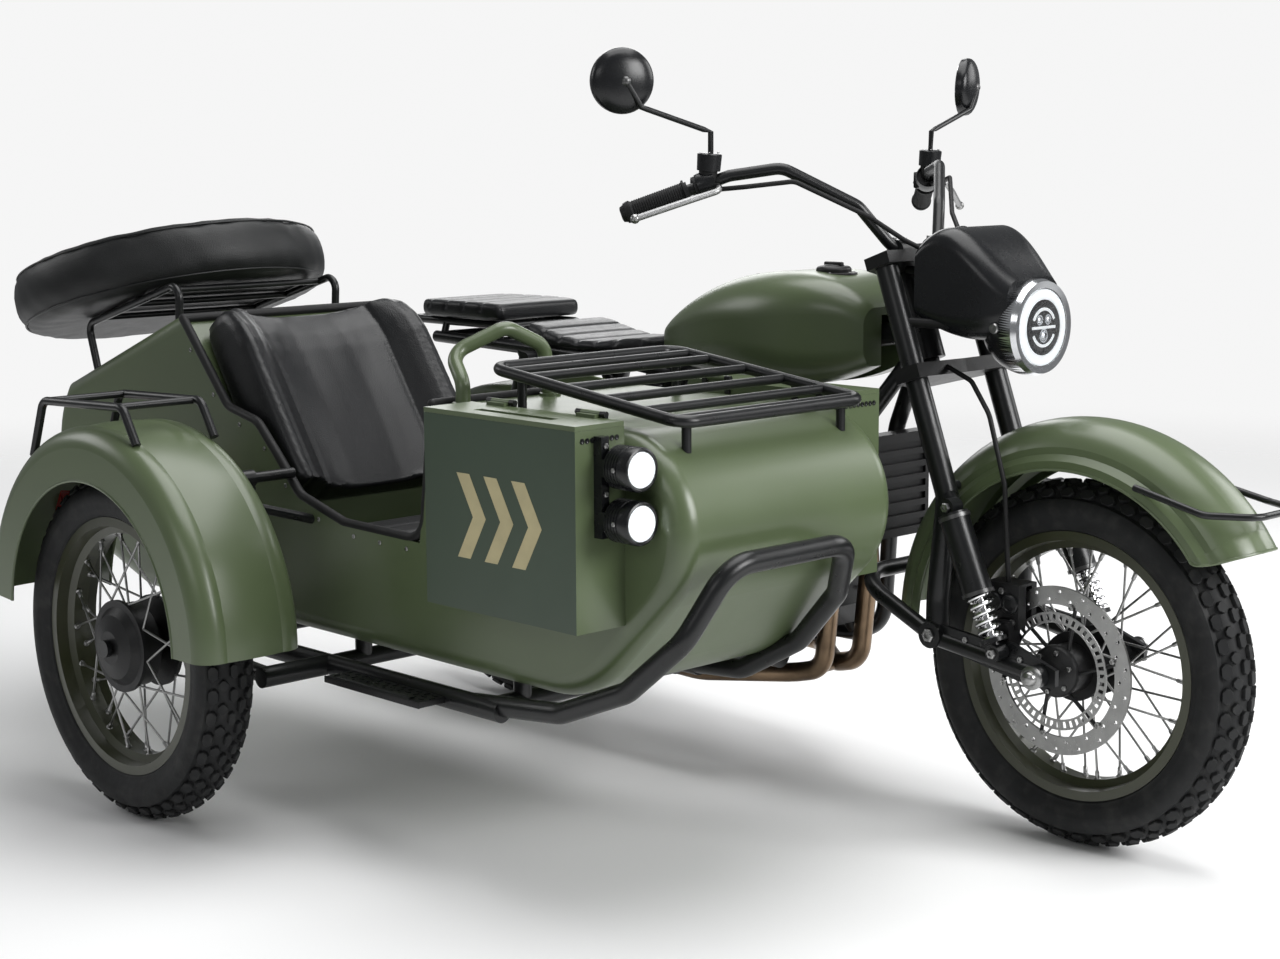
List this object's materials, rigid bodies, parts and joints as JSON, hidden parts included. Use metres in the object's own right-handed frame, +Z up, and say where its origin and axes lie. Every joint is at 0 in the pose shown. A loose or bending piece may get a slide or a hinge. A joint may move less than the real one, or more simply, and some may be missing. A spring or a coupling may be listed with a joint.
{
  "type": "sidecar motorcycle",
  "caption": "Olive green motorcycle with a boat-shaped passenger sidecar, wire wheels, leading-link fork, side lockers, nose rack and a spare wheel on the trunk.",
  "frame": {"origin": "centre of the bounding box's floor, at the bottom of the tyres", "axes": "+X forward along the machine, +Y to the rider's left, +Z up; the sidecar is on the right (-Y)"},
  "size_m": [2.6736, 1.7754, 1.4134],
  "materials": {
    "green_paint": "satin olive green paint",
    "black_paint": "satin black powder coat",
    "steel": "brushed steel",
    "alloy": "cast and machined alloy",
    "black_alloy": "black coated alloy",
    "bronze_pipe": "heat-tinted steel pipe",
    "black_rubber": "black rubber",
    "tyre_rubber": "black tyre rubber",
    "black_leather": "smooth black upholstery",
    "black_plastic": "matt black plastic",
    "lamp_glass": "clear lamp glass",
    "red_lens": "red lamp lens"
  },
  "bodies": {
    "chassis": {"cockpit_coaming": "black_rubber", "crash_bar": "black_paint", "engine_case": "black_alloy", "engine_cylinders": "black_alloy", "exhaust_headers": "bronze_pipe", "fuel_tank": "green_paint", "grab_rail": "green_paint", "left_box": "green_paint", "lid_hinges": "black_paint", "main_frame": "black_paint", "mudguard_rails": "black_paint", "nose_rack": "black_paint", "pillion_rack": "black_paint", "pillion_seat": "black_leather", "radiator": "black_alloy", "rear_mudguard": "green_paint", "rear_shocks": "black_paint", "rider_seat": "black_leather", "right_box": "green_paint", "side_panels": "green_paint", "sidecar_backrest": "black_leather", "sidecar_chassis": "black_paint", "sidecar_mudguard": "green_paint", "sidecar_seat": "black_leather", "sidecar_step": "black_paint", "sidecar_struts": "black_paint", "sidecar_swingarm": "black_paint", "sidecar_tub": "green_paint", "silencers": "black_paint", "spot_lamps": "lamp_glass", "swingarm": "black_paint", "tail_lamps": "red_lens", "tank_cap": "black_alloy"},
    "front_wheel": {"front_tyre": "tyre_rubber", "front_rim": "green_paint", "front_disc": "steel"},
    "rear_wheel": {"rear_tyre": "tyre_rubber", "rear_rim": "green_paint"},
    "sidecar_wheel": {"sidecar_tyre": "tyre_rubber", "sidecar_rim": "green_paint"},
    "steering": {"fork_yokes": "black_alloy", "fork_tubes": "black_paint", "leading_link": "black_paint", "front_shocks": "black_paint", "front_mudguard": "green_paint", "front_mudguard_rail": "black_paint", "headlamp": "lamp_glass", "headlamp_cowl": "black_plastic", "handlebar": "black_paint", "handlebar_controls": "black_rubber", "mirrors": "black_plastic", "front_caliper": "alloy", "brake_hose": "black_rubber", "control_cables": "black_rubber"},
    "trunk_cover": {"trunk_lid": "green_paint", "spare_rack": "black_paint", "spare_wheel": "black_rubber"},
    "right_locker_lid": {"right_box_lid": "green_paint"},
    "left_locker_lid": {"left_box_lid": "green_paint"}
  },
  "joints": [
    {"name": "steer", "type": "hinge", "parent": "chassis", "child": "steering", "pos_m": [0.58608, 0.327, 0.915], "axis": [-0.342, 0, 0.9397], "range_deg": [-30, 30]},
    {"name": "front_wheel_spin", "type": "hinge", "parent": "steering", "child": "front_wheel", "pos_m": [0.974, 0.327, 0.33], "axis": [0, 1, 0], "continuous": true},
    {"name": "rear_wheel_spin", "type": "hinge", "parent": "chassis", "child": "rear_wheel", "pos_m": [-0.531, 0.327, 0.33], "axis": [0, 1, 0], "continuous": true},
    {"name": "sidecar_wheel_spin", "type": "hinge", "parent": "chassis", "child": "sidecar_wheel", "pos_m": [-0.363, -0.782, 0.33], "axis": [0, 1, 0], "continuous": true},
    {"name": "trunk_open", "type": "hinge", "parent": "chassis", "child": "trunk_cover", "pos_m": [-0.616, -0.28, 0.908], "axis": [0, 1, 0], "range_deg": [0, 45]},
    {"name": "right_locker_open", "type": "hinge", "parent": "chassis", "child": "right_locker_lid", "pos_m": [0.509, -0.5375, 0.8239], "axis": [-1, 0, 0], "range_deg": [0, 70]},
    {"name": "left_locker_open", "type": "hinge", "parent": "chassis", "child": "left_locker_lid", "pos_m": [0.509, -0.0225, 0.8239], "axis": [1, 0, 0], "range_deg": [0, 70]}
  ]
}
